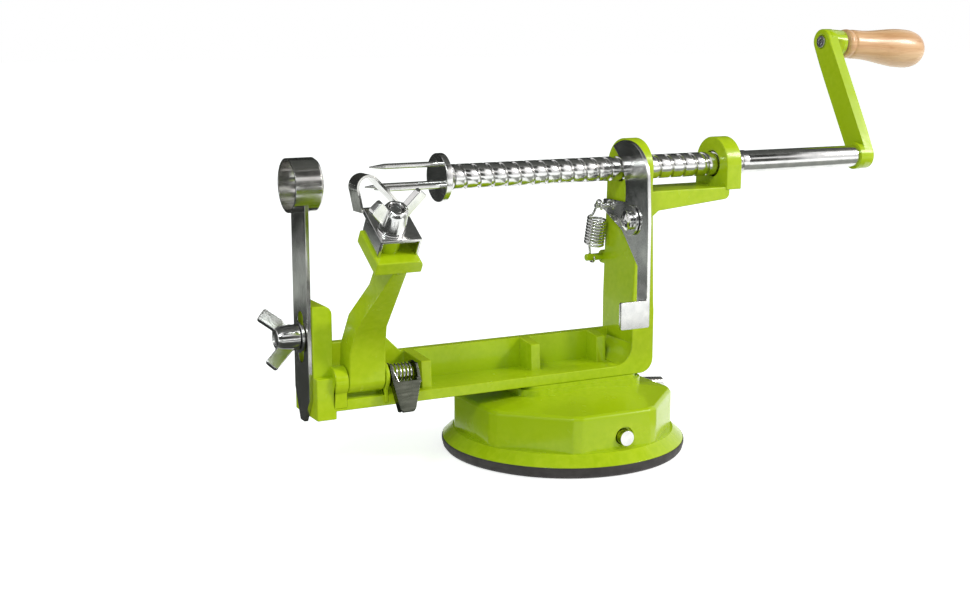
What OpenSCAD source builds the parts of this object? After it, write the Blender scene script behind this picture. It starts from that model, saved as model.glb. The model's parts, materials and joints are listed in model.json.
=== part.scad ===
/* [Foot and base] */
// Outer diameter of the rubber suction foot
foot_d = 100; // [90:1:120]
// Height of the rubber ring between table and cover
foot_h = 3.8; // [3.6:0.1:5]
// Corner radius of the eight-sided base cover
base_r = 46; // [42:0.5:47]
// Height of the base cover's upright walls
base_wall_z = 23.5; // [23:0.5:30]
// Rise of the sloping top panels
crown_h = 3.5; // [2:0.5:5]
// Wall thickness of the base cover
shell_t = 2.6; // [2:0.1:3.5]
// Width of the pedestal that carries the frame
pedestal_w = 25; // [22:0.5:30]
// Length of the pedestal along the beam
pedestal_l = 53; // [50:1:64]
// Depth by which the cover's corners are rounded off
base_corner = 1; // [0.5:0.1:2.5]

/* [Frame casting] */
// Height of the feed screw's axis above the table
axis_z = 114; // [105:1:125]
// Height of the beam's underside above the table
beam_z = 29.5; // [29.5:0.5:34]
// Width of the beam across its flange
beam_w = 23.4; // [22:0.2:30]
// Thickness of the beam's bottom flange
flange_t = 4.2; // [3.5:0.1:6]
// Thickness of the beam's back web
web_t = 4; // [3:0.2:6]
// Height of the back web over the beam's underside
web_h = 16.2; // [12:0.2:22]
// Distance of the slicer post's outer face from the foot's centre
post_reach = 112.3; // [105:0.5:125]
// Thickness of the slicer post
post_t = 7.8; // [6:0.2:10]
// Width of the slicer post
post_w = 17; // [14:0.5:20]
// Height of the slicer post's top above the table
post_top_z = 69.5; // [66:0.5:76]
// Distance of the column's inner face from the foot's centre
column_x = 26; // [24:0.5:32]
// Thickness of the column at its foot
column_t = 10.6; // [9:0.2:14]
// Thickness of the column's head
head_t = 6.6; // [5:0.2:9]
// Radius of the column's rounded head
head_r = 12.5; // [11.5:0.5:15]
// Offset of the head's centre to the front
head_offset = 3; // [2:0.5:4]
// Length of the rear arm from column to eye
rear_reach = 46; // [40:1:60]
// Thickness of the rear eye
eye_t = 7.5; // [6:0.5:10]
// Outer radius of the rear eye
eye_r = 11.3; // [9.5:0.1:14]

/* [Feed screw and crank] */
// Outer diameter of the feed thread
thread_d = 10; // [9:0.1:11]
// Lead of the feed thread per turn
thread_pitch = 6; // [5:0.1:7]
// Depth of the thread's groove
groove_h = 0.9; // [0.7:0.05:1.1]
// Width of the groove at the crest
groove_w = 2.4; // [2.2:0.1:2.8]
// Length of the threaded stretch
thread_l = 139.5; // [130:0.5:150]
// Distance of the thread's front end from the foot's centre
thread_front = 51; // [48:0.5:56]
// Diameter of the shaft behind the thread
shaft_d = 9.5; // [8.5:0.1:9.8]
// Length of the plain shaft between thread and crank
shaft_l = 62; // [50:0.5:75]
// Distance between shaft and handle axes
crank_r = 57.5; // [45:0.5:70]
// Lean of the crank to the back
crank_lean = 29.5; // [0:0.5:60]
// Width of the crank bar
crank_w = 11.4; // [11:0.2:15]
// Thickness of the crank bar
crank_t = 5; // [4:0.2:7]
// Length of the wooden handle
handle_l = 47.5; // [44:0.5:60]
// Largest diameter of the wooden handle
handle_d = 17.8; // [16:0.2:22]
// Diameter of the handle at its neck
handle_neck_d = 13.2; // [12.4:0.2:15]
// Droop of the handle's spindle in its boss
handle_droop = 4.2; // [0:0.2:6]

/* [Fork and slicer] */
// Diameter of the fork's disc
fork_d = 19; // [16:0.5:22]
// Length of the fork's prongs
prong_l = 28; // [20:1:32]
// Diameter of a prong
prong_d = 2.2; // [1.8:0.1:2.6]
// Radius of the circle of prongs
prong_r = 5.3; // [4.8:0.1:5.5]
// Number of prongs
prong_n = 3; // [3:1:4]
// Inner radius of the coring ring
corer_r = 9.2; // [9:0.1:11]
// Length of the coring ring
corer_l = 12; // [8:0.5:14]
// Width of the slicing blade
slicer_w = 15; // [13:0.2:17]
// Thickness of the slicing blade
slicer_t = 1.5; // [1:0.1:2]
// Height of the slicer's bolt above the table
slicer_bolt_z = 57; // [56:0.5:60]
// Diameter of the slicer's and the peel blade's bolts
bolt_d = 5; // [4:0.1:5.5]

/* [Release lever] */
// Thickness of the lever plate
lever_t = 1.5; // [1:0.1:2]
// Distance of the lever's pivot in front of the screw's axis
lever_pivot_front = 12.3; // [11:0.1:13.5]
// Distance of the lever's pivot below the screw's axis
lever_pivot_drop = 20; // [18:0.5:23]
// Width of the lever's thumb tab
tab_w = 13.6; // [12:0.2:20]
// Height of the lever's thumb tab
tab_h = 11.2; // [9:0.2:15]

/* [Peeling arm] */
// Distance of the arm's pivot in front of the screw's axis
arm_pivot_front = 8.5; // [7.5:0.1:9]
// Height of the arm's pivot above the beam's flange
arm_pivot_up = 7; // [6.4:0.1:8]
// Width of the arm's hub along its pin
arm_hub_w = 14.6; // [13:0.2:16]
// Lean of the arm's head to the front
head_lean = 32.5; // [26:0.5:38]
// Distance of the head's face in front of the screw's axis
head_front = 48.4; // [46:0.2:51]
// Distance of the head's face below the screw's axis
head_drop = 14.8; // [13:0.2:17]
// Width of the peel blade's strip
blade_w = 8; // [6:0.5:9]
// Thickness of the peel blade's strip
blade_t = 0.9; // [0.6:0.1:1.2]

/* [Suction lever] */
// Diameter of the suction lever's rod
rod_d = 6; // [5.6:0.1:6.2]
// Height of the rod's axis above the table
rod_z = 13.3; // [13:0.1:13.5]
// Throw of the rod's cam
cam_throw = 1.5; // [1:0.1:1.6]
// Length of the lever outside the base
lever_l = 82; // [60:1:85]
// Droop of the locked lever
lever_droop = 5.8; // [3:0.2:6]

/* [Springs] */
// Wire diameter of the lever's spring
lever_wire = 0.8; // [0.6:0.05:0.9]
// Turns of the lever's spring
lever_turns = 9; // [7:1:9]
// Outer diameter of the lever's spring
lever_coil_d = 8.6; // [7:0.1:9]
// Wire diameter of the arm's spring
arm_wire = 0.9; // [0.7:0.05:1]
// Turns of the arm's spring
arm_turns = 5; // [4:1:6]
// Outer diameter of the arm's spring
arm_coil_d = 8.6; // [8.4:0.1:9.2]

/* [Hidden] */
$fn = 48;

// Finishes
lime = [0.64, 0.78, 0.07];
chrome = [0.8, 0.8, 0.82];
steel = [0.6, 0.6, 0.62];
black = [0.2, 0.18, 0.18];
timber = [0.78, 0.55, 0.36];

// Clearances: rigid contact, running fit, free gap between moving pieces
touch = 0;
run = 0.1;
gap = 0.3;
eps = 0.01;
far = 60;

// Beam, web and ribs
beam_top = beam_z + flange_t;
beam_y0 = -beam_w / 2;
beam_y1 = beam_w / 2;
web_y = beam_y1 - web_t;
web_top = beam_z + web_h;
web_raise = 6;
web_raise_x = 76;
web_slope_l = 6;
rib_t = 4.4;
rib_x = [-66, -14, 18];
rib_reach = [16, 9.5, 8];
rib_fall = 1.4;
column_x1 = column_x + column_t;
corner_r = 6;
inner_fillet = 8;
post_x0 = -post_reach;
post_x1 = post_x0 + post_t;
post_round = 3.5;
foot_drop = 3;
post_foot_h = 16;

// Column head and rear arm
head_x1 = column_x + head_t;
head_bore_d = thread_d + 2 * gap;
arm_top = axis_z - 9;
arm_end_t = 5.2;
arm_root_t = 8.8;
rear_x1 = column_x + rear_reach;
eye_x1 = rear_x1 + eye_t;
eye_drop = 10.2;
arm_w = 21.6;
arm_pocket_wall = 3;
bush_d = thread_d + 2.6;
bush_bore = thread_d + 0.5;
eye_bore = bush_d + 2 * run;
eye_lip = 2;
bush_rim = 1.2;

// Lever pivot and its spring
lever_y = -lever_pivot_front;
lever_z = axis_z - lever_pivot_drop;
plate_x1 = column_x - gap;
plate_x0 = plate_x1 - lever_t;
pivot_boss_r = 5.5;
pivot_boss_t = 4;
lever_screw_d = 4;
lever_head_d = 8;
lever_head_h = 2.8;
lever_washer_d = 12.5;
lever_washer_t = 1;
spring_x = column_x - gap - lever_coil_d / 2;
horn_y = 8;
horn_z = axis_z - 16;
spring_lug_y = 13.3;
spring_lug_z = axis_z - 38.5;
spring_l = norm([horn_y - spring_lug_y, horn_z - spring_lug_z]);
spring_lean = atan2(spring_lug_y - horn_y, horn_z - spring_lug_z);
peg_d = 2;
lug_d = 3;

// Peeling arm's pivot, pin and spring
arm_y = -arm_pivot_front;
arm_z = beam_top + arm_pivot_up;
arm_hub_r = 5.3;
lug_r = 5.6;
pin_d = 3;
lug_x0 = post_x1;
lug_x1 = lug_x0 + 4.2;
arm_x0 = lug_x1 + gap;
arm_x1 = arm_x0 + arm_hub_w;
lug2_x0 = arm_x1 + gap;
lug2_x1 = lug2_x0 + 1.6;
mandrel_d = 5.6;
ear_t = 1;
ear_x0 = lug2_x1 + gap;
coil_x0 = ear_x0 + ear_t + gap;
arm_coil_pitch = arm_wire + 0.62;
latch_lean = 28;
tail_angle = 150;
arm_coil_turns = arm_turns + (tail_angle - latch_lean) / 360;
coil_l = arm_coil_turns * arm_coil_pitch + arm_wire;
ear2_x0 = coil_x0 + coil_l + gap;
mandrel_x1 = ear2_x0 + ear_t + gap;

// Feed screw
thread_x0 = -thread_front;
thread_x1 = thread_x0 + thread_l;
shaft_x1 = thread_x1 + shaft_l;
thread_r = thread_d / 2;
spigot_d = 6;
groove_x = (plate_x0 + plate_x1) / 2;
groove_root_w = groove_w - 0.9;
thread_slices = 12;

// Crank and handle
collar_t = 1.5;
collar_r = crank_w / 2 + 0.2;
socket_l = 1.2;
bar_x0 = shaft_x1 + collar_t;
bar_x1 = bar_x0 + crank_t;
crank_boss_t = 6;
boss_x1 = bar_x1 + crank_boss_t;
handle_washer_t = 1;
handle_x0 = boss_x1 + handle_washer_t + 2 * gap;
handle_x1 = handle_x0 + handle_l;
spindle_d = 5;
spindle_knob_d = 6.6;
spindle_head_d = 5.4;
spindle_head_h = 0.8;
spindle_seat = 0.4;

// Fork
fork_t = 2.5;
fork_hub_l = 3.6;
fork_x1 = thread_x0;
fork_x0 = fork_x1 - fork_hub_l - fork_t;

// Slicer
slicer_x1 = post_x0 - run;
slicer_x0 = slicer_x1 - slicer_t;
slicer_washer_t = 1;
slot_w = bolt_d + 0.6;
slot_reach = 7;
slicer_tip_z = beam_z - 5;
corer_t = 0.9;
corer_front = 5;
nut_hub_l = 8.5;
nut_x1 = slicer_x0 - gap - slicer_washer_t - gap;

// Head of the peeling arm, in its own leaning frame
head_z = axis_z - head_drop;
head_x = arm_x0 + 1.6;
head_l = 17.4;
head_v0 = -12.5;
head_v1 = 6;
head_h = 5.2;
saddle_l = 15.4;
saddle_w = 18;
saddle_h = 7;
saddle_t = 1.2;
bolt_u = -2;
bolt_v = -3;
stud_depth = 4.4;
nut_seat_t = 0.9;
loop_r = 4.5;
loop_x = -5.1;
loop_h = 8.7;
loop_right = 44;
loop_left = 191;
seat_w = saddle_h - saddle_t - blade_t;
loop_y = -head_front + cos(head_lean) * saddle_w / 2 - sin(head_lean) * (seat_w + blade_t / 2);
loop_z = head_z + sin(head_lean) * saddle_w / 2 + cos(head_lean) * (seat_w + blade_t / 2) - blade_t / 2;

// Suction lever and lift
rod_x = 3.5;
cam_r = 4;
cam_w = 10;
lift = 1.6;
base_inner_z = base_wall_z - shell_t;
base_flat = base_r * cos(22.5);
base_round_r = base_r - base_corner;
skirt_r = foot_d / 2 - 0.2;
skirt_rim = 1.2;
skirt_rise = 5.2;
window_up = cam_r + cam_throw + 0.65;
window_down = rod_d / 2 + 0.4;
yoke_w = 2 * (cam_r + cam_throw) + 4;
yoke_t = 1.5;
rod_front = base_flat + 2;
rod_back = base_flat + 10;
bend_r = 6.5;
clip_t = 1;
disc_d = 8;
stem_d = 5;
screw_d = 4;
screw_head_d = 7;
screw_head_h = 2.6;
screw_gap = 12.8;
pedestal_top = beam_z;

// Frame of axes for extruding an outline along X or along Y
module along_x(x0, x1) {
    translate([x0, 0, 0]) rotate([90, 0, 90]) linear_extrude(height = x1 - x0) children();
}
module along_y(y0, y1) {
    translate([0, y1, 0]) rotate([90, 0, 0]) linear_extrude(height = y1 - y0) children();
}
module rod_x_at(x0, x1, d, y, z) {
    translate([x0, y, z]) rotate([0, 90, 0]) cylinder(d = d, h = x1 - x0);
}
module rod_y_at(y0, y1, d, x, z) {
    translate([x, y1, z]) rotate([90, 0, 0]) cylinder(d = d, h = y1 - y0);
}
module block(a, b) {
    translate(a) cube(b - a);
}

// A tube swept along points: rings square to the path, six sides, flat ends
function unit(v) = v / norm(v);
function tangent(p, i) = unit(p[min(i + 1, len(p) - 1)] - p[max(i - 1, 0)]);
function side(t) = unit(cross(t, abs(t[0]) < 0.8 ? [1, 0, 0] : [0, 1, 0]));
function carried(t, s) = unit(s - (s * t) * t);
function ring_sides(p, i = 0, s = undef, out = []) =
    i == len(p) ? out :
    let (t = tangent(p, i), n = i == 0 ? side(t) : carried(t, s))
    ring_sides(p, i + 1, n, concat(out, [n]));
module swept_wire(p, d, sides = 6) {
    n = ring_sides(p);
    rings = len(p);
    points = [for (i = [0:rings - 1]) let (t = tangent(p, i), u = n[i], v = cross(t, u))
        for (k = [0:sides - 1]) p[i] + d / 2 * (cos(360 * k / sides) * u + sin(360 * k / sides) * v)];
    walls = [for (i = [0:rings - 2], k = [0:sides - 1]) let (a = i * sides + k, b = i * sides + (k + 1) % sides)
        each [[a, b, a + sides], [b, b + sides, a + sides]]];
    ends = [for (k = [1:sides - 2]) each [[0, k + 1, k],
        [(rings - 1) * sides, (rings - 1) * sides + k, (rings - 1) * sides + k + 1]]];
    polyhedron(points, concat(walls, ends));
}
// Least gap of a wire to itself, over points that lie more than a turn's quarter apart
function self_gap(p, d, skip) = min([for (i = [0:len(p) - 1 - skip], j = [i + skip:len(p) - 1]) norm(p[i] - p[j])]) - d;

rings_per_turn = 8;

// Path of the lever's spring: lower hook round the lug, coil, upper hook round the peg
lever_mean_r = (lever_coil_d - lever_wire) / 2;
lever_hook_r = (max(peg_d, lug_d) + lever_wire) / 2 + 0.25;
lever_coil_pitch = lever_wire + 0.52;
lever_coil_l = lever_turns * lever_coil_pitch;
lever_coil_z0 = (spring_l - lever_coil_l) / 2;
function coil_z(r, z0, pitch, turns) = [for (i = [0:turns * rings_per_turn])
    let (a = 360 * i / rings_per_turn) [r * sin(a), r * cos(a), z0 + pitch * i / rings_per_turn]];
function hook(z, a0) = [for (i = [0:8]) let (a = a0 + 30 * i) [0, lever_hook_r * cos(a), z + lever_hook_r * sin(a)]];
hook_start = 150;
lever_path = concat(hook(0, hook_start), coil_z(lever_mean_r, lever_coil_z0, lever_coil_pitch, lever_turns),
    hook(spring_l, hook_start - 180));

// Path of the arm's torsion spring: leg on the arm, coil round the mandrel, leg on the flange
arm_mean_r = (arm_coil_d - arm_wire) / 2;
arm_steps = ceil(arm_coil_turns * rings_per_turn);
function on_coil(a) = [0, -arm_mean_r * cos(a), arm_mean_r * sin(a)];
function along_coil(a) = [0, sin(a), cos(a)];
arm_leg_l = 6;
arm_leg_shift = 1.6;
arm_tail_l = (arm_pivot_up + arm_mean_r * sin(tail_angle) - arm_wire / 2 - gap) / -cos(tail_angle);
arm_path = concat(
    [[arm_leg_shift, 0, 0] + on_coil(latch_lean) - arm_leg_l * along_coil(latch_lean),
        [arm_leg_shift / 6, 0, 0] + on_coil(latch_lean) - arm_wire * along_coil(latch_lean)],
    [for (i = [0:arm_steps]) let (t = i / arm_steps)
        [arm_coil_turns * arm_coil_pitch * t, 0, 0] + on_coil(latch_lean + 360 * arm_coil_turns * t)],
    [for (l = [arm_wire, arm_tail_l]) [arm_coil_turns * arm_coil_pitch, 0, 0] + on_coil(tail_angle) + l * along_coil(tail_angle)]);

echo(lever_spring_self_gap = self_gap(lever_path, lever_wire, 6));
echo(arm_spring_self_gap = self_gap(arm_path, arm_wire, 6));

// Rounded bar between two centres on the Z axis, drawn flat
module bar_2d(r, l) {
    circle(r = r);
    translate([0, l]) circle(r = r);
    translate([-r, 0]) square([2 * r, l]);
}

// Main frame
module column_outline() {
    translate([-head_offset, axis_z]) circle(r = head_r);
    polygon([[beam_y0, beam_z], [beam_y1, beam_z], [beam_y1, beam_z + 30],
        [head_r - head_offset, axis_z], [-head_r - head_offset, axis_z], [beam_y0, beam_z + 30]]);
}
module column_thickness() {
    translate([column_x1 - corner_r, beam_z + corner_r]) circle(r = corner_r);
    polygon([[column_x, beam_z], [column_x1 - corner_r, beam_z], [column_x1, beam_z + corner_r],
        [column_x1, beam_z + 26], [head_x1, axis_z - 6], [head_x1, axis_z + far], [column_x, axis_z + far]]);
}
module column() {
    intersection() {
        along_x(column_x, column_x1) column_outline();
        along_y(-far, far) column_thickness();
    }
    along_y(beam_y0, beam_y1) difference() {
        translate([column_x - inner_fillet, beam_top]) square(inner_fillet + 1);
        translate([column_x - inner_fillet, beam_top + inner_fillet]) circle(r = inner_fillet);
    }
    rod_x_at(column_x, column_x + pivot_boss_t, 2 * pivot_boss_r, lever_y, lever_z);
}
module rear_arm() {
    along_y(-arm_w / 2, arm_w / 2) {
        polygon([[column_x + 2, arm_top], [rear_x1 + 2, arm_top], [rear_x1 + 2, arm_top - arm_end_t / 2],
            [rear_x1 - 0.6, arm_top - arm_end_t], [head_x1 + 6, arm_top - arm_root_t + 0.6],
            [head_x1 + 2, arm_top - arm_root_t - 2.4], [column_x + 2, arm_top - arm_root_t - 6]]);
        translate([rear_x1 - 0.6, arm_top - arm_end_t / 2]) circle(d = arm_end_t);
    }
    along_x(rear_x1, eye_x1) {
        translate([0, axis_z]) circle(r = eye_r);
        translate([-eye_r, axis_z - eye_drop]) square([2 * eye_r, eye_drop]);
    }
}
module beam() {
    block([post_x1 - eps, beam_y0, beam_z], [column_x1 - corner_r, beam_y1, beam_top]);
    along_y(web_y, beam_y1) polygon([[post_x1 - eps, beam_z], [column_x + 2, beam_z], [column_x + 2, web_top],
        [-web_raise_x + web_slope_l, web_top], [-web_raise_x, web_top + web_raise],
        [post_x1 - eps, web_top + web_raise]]);
    for (i = [0:len(rib_x) - 1]) along_x(rib_x[i] - rib_t / 2, rib_x[i] + rib_t / 2)
        polygon([[web_y + 1, beam_z + 1], [web_y + 1, web_top], [web_y, web_top],
            [web_y - rib_reach[i], web_top - rib_fall], [web_y - rib_reach[i] - 1, beam_z + 1]]);
}
module slicer_post() {
    along_y(-post_w / 2, post_w / 2) {
        translate([post_x1 - post_round, post_top_z - post_round]) circle(r = post_round);
        polygon([[post_x0, beam_z - foot_drop], [post_x1, beam_z - foot_drop], [post_x1, post_top_z - post_round],
            [post_x1 - post_round, post_top_z], [post_x0, post_top_z]]);
    }
    block([post_x0, beam_y0, beam_z - foot_drop], [post_x1, beam_y1, beam_z - foot_drop + post_foot_h]);
}
module arm_lug(x0, x1) {
    along_x(x0, x1) {
        translate([arm_y, arm_z]) circle(r = lug_r);
        translate([arm_y - lug_r + 2.2, beam_z + 1]) square([2 * lug_r - 2.2, arm_z - beam_z - 1]);
    }
}
module main_frame() {
    color(lime) difference() {
        union() {
            column();
            rear_arm();
            beam();
            slicer_post();
            arm_lug(lug_x0 - 1, lug_x1);
            arm_lug(lug2_x0, lug2_x1);
            rod_x_at(lug2_x1 - eps, mandrel_x1, mandrel_d, arm_y, arm_z);
            rod_x_at(spring_x - lug_d, column_x + 2, lug_d, spring_lug_y, spring_lug_z);
            along_x(column_x, column_x + 4) {
                translate([spring_lug_y, spring_lug_z]) circle(r = 2.8);
                translate([0, spring_lug_z - 2.8]) square([spring_lug_y, 5.6]);
            }
        }
        rod_x_at(column_x - 1, head_x1 + 1, head_bore_d, 0, axis_z);
        rod_x_at(rear_x1 + eye_lip, eye_x1 + 1, eye_bore, 0, axis_z);
        rod_x_at(rear_x1 - 1, eye_x1, thread_d + 1, 0, axis_z);
        rod_x_at(column_x - 1, column_x + pivot_boss_t + 2, lever_screw_d, lever_y, lever_z);
        rod_x_at(post_x0 - 1, post_x1 + 1, bolt_d, 0, slicer_bolt_z);
        rod_x_at(lug_x0 - 3, mandrel_x1 + 1, pin_d, arm_y, arm_z);
        block([head_x1 + 5, -arm_w / 2 + arm_pocket_wall, arm_top - 20],
            [rear_x1 - 4, arm_w / 2 - arm_pocket_wall, arm_top - arm_pocket_wall]);
        for (s = [-1, 1]) translate([rod_x + s * screw_gap, 0, beam_z - 1])
            cylinder(d = screw_d, h = flange_t);
    }
}

// Base cover, foot and lift
module octagon(r, z0, z1) {
    translate([0, 0, z0]) rotate([0, 0, 22.5]) cylinder(r = r, h = z1 - z0, $fn = 8);
}
module pedestal(grow, top) {
    w = pedestal_w + 2 * grow;
    l = pedestal_l + 2 * grow;
    r = 6 + grow;
    translate([rod_x, 0, base_wall_z - 1]) linear_extrude(height = top - base_wall_z + 1) {
        square([l - 2 * r, w], center = true);
        square([l, w - 2 * r], center = true);
        for (i = [-1, 1], j = [-1, 1]) translate([i * (l / 2 - r), j * (w / 2 - r)]) circle(r = r);
    }
}
module base_shell() {
    crown_slope = atan(crown_h / (base_flat - pedestal_w / 2));
    crown_top = base_wall_z + crown_h;
    color(lime) difference() {
        union() {
            difference() {
                intersection() {
                    octagon(base_r, foot_h, crown_top);
                    cylinder(r = base_round_r, h = far);
                }
                for (k = [0:7]) rotate([0, 0, 45 * k]) translate([base_flat, 0, base_wall_z])
                    rotate([0, crown_slope, 0]) translate([-2 * base_r, -base_r, 0]) cube([3 * base_r, 2 * base_r, base_r]);
            }
            rotate_extrude() polygon([[0, foot_h], [skirt_r, foot_h], [skirt_r, foot_h + skirt_rim],
                [base_round_r + 0.6, foot_h + skirt_rise], [0, foot_h + skirt_rise]]);
            pedestal(0, pedestal_top);
            pedestal(2, (pedestal_top + crown_top) / 2);
        }
        intersection() {
            octagon(base_r - shell_t, foot_h - 1, base_inner_z);
            cylinder(r = base_round_r - shell_t, h = far);
        }
        translate([0, 0, foot_h - 1]) cylinder(r = skirt_r - shell_t, h = 2.5);
        rod_y_at(-far, far, rod_d + 2 * gap, rod_x, rod_z);
        rod_y_at(-far, -base_flat + 1.3, rod_d + 2.4, rod_x, rod_z);
        for (s = [-1, 1]) translate([rod_x + s * screw_gap, 0, 0]) cylinder(d = screw_d, h = far);
    }
}
module suction_cup() {
    r = foot_d / 2;
    lip_r = skirt_r - shell_t - 0.2;
    color(black) difference() {
        rotate_extrude() polygon([[r - 6, 0], [r - 2.4, 0], [r - 1.1, 0.5], [r - 0.3, 1.5], [r, foot_h - 1],
            [r - 0.1, foot_h - 0.3], [r - 0.5, foot_h], [lip_r, foot_h], [lip_r, foot_h + 1.2],
            [lip_r - 2.2, foot_h + 1.2], [lip_r - 2.6, foot_h - 1.4], [r - 24, foot_h - 0.4], [0, foot_h - 0.2], [0, foot_h - 2.2], [r - 24, foot_h - 2.4],
            [r - 8, 1.2]]);
        translate([rod_x, 0, -1]) cylinder(d = disc_d + 2 * gap, h = far);
    }
}
module frame_screws() {
    color(steel) for (s = [-1, 1]) translate([rod_x + s * screw_gap, 0, 0]) {
        translate([0, 0, base_inner_z - 0.01]) cylinder(d = screw_d, h = beam_z + flange_t - 1.2 - base_inner_z);
        difference() {
            translate([0, 0, base_inner_z - screw_head_h]) cylinder(d = screw_head_d, h = screw_head_h);
            translate([0, 0, base_inner_z - screw_head_h - 1]) cylinder(d = 3.4, h = 2.4, $fn = 6);
        }
    }
}
module suction_lever() {
    color(chrome) {
        rod_y_at(-rod_front, rod_back - bend_r + eps, rod_d, rod_x, rod_z);
        rod_y_at(-cam_w / 2, cam_w / 2, 2 * cam_r, rod_x, rod_z + cam_throw);
        translate([rod_x, rod_back - bend_r, rod_z]) rotate([0, lever_droop, 0]) {
            translate([bend_r, 0, 0]) rotate([0, 0, 90]) rotate_extrude(angle = 90)
                translate([bend_r, 0]) circle(d = rod_d + 0.16);
            rod_x_at(bend_r, lever_l - 1, rod_d, bend_r, 0);
            translate([lever_l - 1, bend_r, 0]) rotate([0, 90, 0]) cylinder(d1 = rod_d, d2 = rod_d - 1.6, h = 1);
        }
    }
}
module rod_clip() {
    y = base_flat - shell_t - gap;
    color(steel) difference() {
        rod_y_at(y - clip_t, y, rod_d + 5, rod_x, rod_z);
        rod_y_at(y - clip_t - 1, y + 1, rod_d, rod_x, rod_z);
        block([rod_x - 1.6, y - clip_t - 1, rod_z - far], [rod_x + 1.6, y + 1, rod_z]);
    }
}
module pull_stem() {
    z0 = rod_z - window_down;
    z1 = rod_z + window_up;
    w = yoke_w / 2;
    color(steel) {
        along_y(-4, 4) translate([rod_x, 0]) difference() {
            translate([-w - yoke_t, z0 - yoke_t]) square([2 * (w + yoke_t), z1 - z0 + yoke_t + 1.2]);
            translate([-w, z0]) square([2 * w, z1 - z0]);
        }
        translate([rod_x, 0, foot_h + 0.3]) cylinder(d = stem_d, h = z0 - yoke_t - foot_h - 0.3 + eps);
    }
}
module cup_disc() {
    color(steel) translate([rod_x, 0, foot_h - 1.9]) difference() {
        cylinder(d = disc_d, h = 2.2 + 1);
        translate([0, 0, 2.2]) cylinder(d = stem_d, h = 2);
    }
}

// Feed screw: the section of a one-start thread is a circle drawn in where the groove passes
function groove_angle(w) = 180 * w / thread_pitch;
function section_r(a) = let (o = abs(a), lo = groove_angle(groove_root_w), hi = groove_angle(groove_w))
    thread_r - groove_h * (o <= lo ? 1 : o >= hi ? 0 : (hi - o) / (hi - lo));
thread_turns = thread_l / thread_pitch;
thread_rings = round(thread_turns * thread_slices);
groove_lo = groove_angle(groove_root_w);
groove_hi = groove_angle(groove_w);
crest_n = 8;
section_angles = concat([-groove_lo, -groove_lo / 3, groove_lo / 3, groove_lo],
    [for (i = [0:crest_n]) groove_hi + (360 - 2 * groove_hi) * i / crest_n]);
module thread_form() {
    phase = 180 - 360 * (groove_x - thread_x0) / thread_pitch;
    n = len(section_angles);
    points = [for (i = [0:thread_rings], a = section_angles)
        let (o = a > 180 ? a - 360 : a, r = section_r(o), t = a + phase + 360 * thread_turns * i / thread_rings)
        [thread_x0 + thread_l * i / thread_rings, r * cos(t), axis_z + r * sin(t)]];
    walls = [for (i = [0:thread_rings - 1], k = [0:n - 1]) let (a = i * n + k, b = i * n + (k + 1) % n)
        each [[a, b + n, b], [a, a + n, b + n]]];
    last = thread_rings * n;
    polyhedron(points, concat(walls, [[for (k = [0:n - 1]) k]], [[for (k = [n - 1:-1:0]) last + k]]));
}
module threaded_shaft() {
    color(chrome) {
        thread_form();
        rod_x_at(thread_x1 - eps, shaft_x1, shaft_d, 0, axis_z);
        rod_x_at(shaft_x1 - eps, bar_x1 - 1, spigot_d, 0, axis_z);
        rod_x_at(fork_x0 + fork_t, thread_x0 + eps, spigot_d, 0, axis_z);
    }
}
module fork_disc() {
    color(chrome) difference() {
        union() {
            rod_x_at(fork_x0, fork_x0 + fork_t, fork_d, 0, axis_z);
            translate([fork_x0 + fork_t - eps, 0, axis_z]) rotate([0, 90, 0])
                cylinder(d1 = fork_d - 4, d2 = shaft_d, h = fork_hub_l + eps);
        }
        rod_x_at(fork_x0 + fork_t, fork_x1 + 1, spigot_d, 0, axis_z);
        for (k = [0:prong_n - 1]) translate([0, 0, axis_z]) rotate([360 * k / prong_n, 0, 0])
            rod_x_at(fork_x0 - 1, fork_x0 + fork_t - 0.6, prong_d, 0, prong_r);
    }
}
module fork_prongs() {
    tip = 6;
    color(chrome) for (k = [0:prong_n - 1]) translate([0, 0, axis_z]) rotate([360 * k / prong_n, 0, 0]) {
        rod_x_at(fork_x0 - prong_l + tip, fork_x0 + fork_t - 0.6, prong_d, 0, prong_r);
        translate([fork_x0 - prong_l, 0, prong_r]) rotate([0, 90, 0])
            cylinder(d1 = 0.5, d2 = prong_d, h = tip + eps);
    }
}
module crank_arm() {
    color(lime) difference() {
        union() {
            translate([0, 0, axis_z]) rotate([-crank_lean, 0, 0]) {
                along_x(bar_x0, bar_x1) bar_2d(crank_w / 2, crank_r);
            }
            at_handle() rod_x_at(bar_x0 + 2, boss_x1, crank_w + 0.4, 0, 0);
            rod_x_at(shaft_x1 - socket_l, bar_x0 + eps, 2 * collar_r, 0, axis_z);
        }
        rod_x_at(shaft_x1 - socket_l - 1, shaft_x1, shaft_d, 0, axis_z);
        rod_x_at(shaft_x1 - eps, bar_x1 - 1, spigot_d, 0, axis_z);
        at_handle() rod_x_at(bar_x0 - 1, boss_x1 + 1, spindle_d, 0, 0);
        at_handle() rod_x_at(bar_x0 - 2, bar_x0 + spindle_seat, spindle_head_d + 0.4, 0, 0);
    }
}
module at_handle() {
    translate([bar_x0, crank_r * sin(crank_lean), axis_z + crank_r * cos(crank_lean)]) rotate([0, handle_droop, 0])
        translate([-bar_x0, 0, 0]) children();
}
module handle_bolt() {
    knob_x = handle_x1 - 14;
    color(steel) at_handle() difference() {
        union() {
            rod_x_at(bar_x0 + spindle_seat - spindle_head_h, bar_x0 + spindle_seat, spindle_head_d, 0, 0);
            rod_x_at(bar_x0, knob_x + eps, spindle_d, 0, 0);
            rod_x_at(knob_x, knob_x + 3, spindle_knob_d, 0, 0);
        }
        translate([bar_x0 - spindle_head_h - 1, 0, 0]) rotate([0, 90, 0]) cylinder(d = 3, h = 3, $fn = 6);
    }
}
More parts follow.
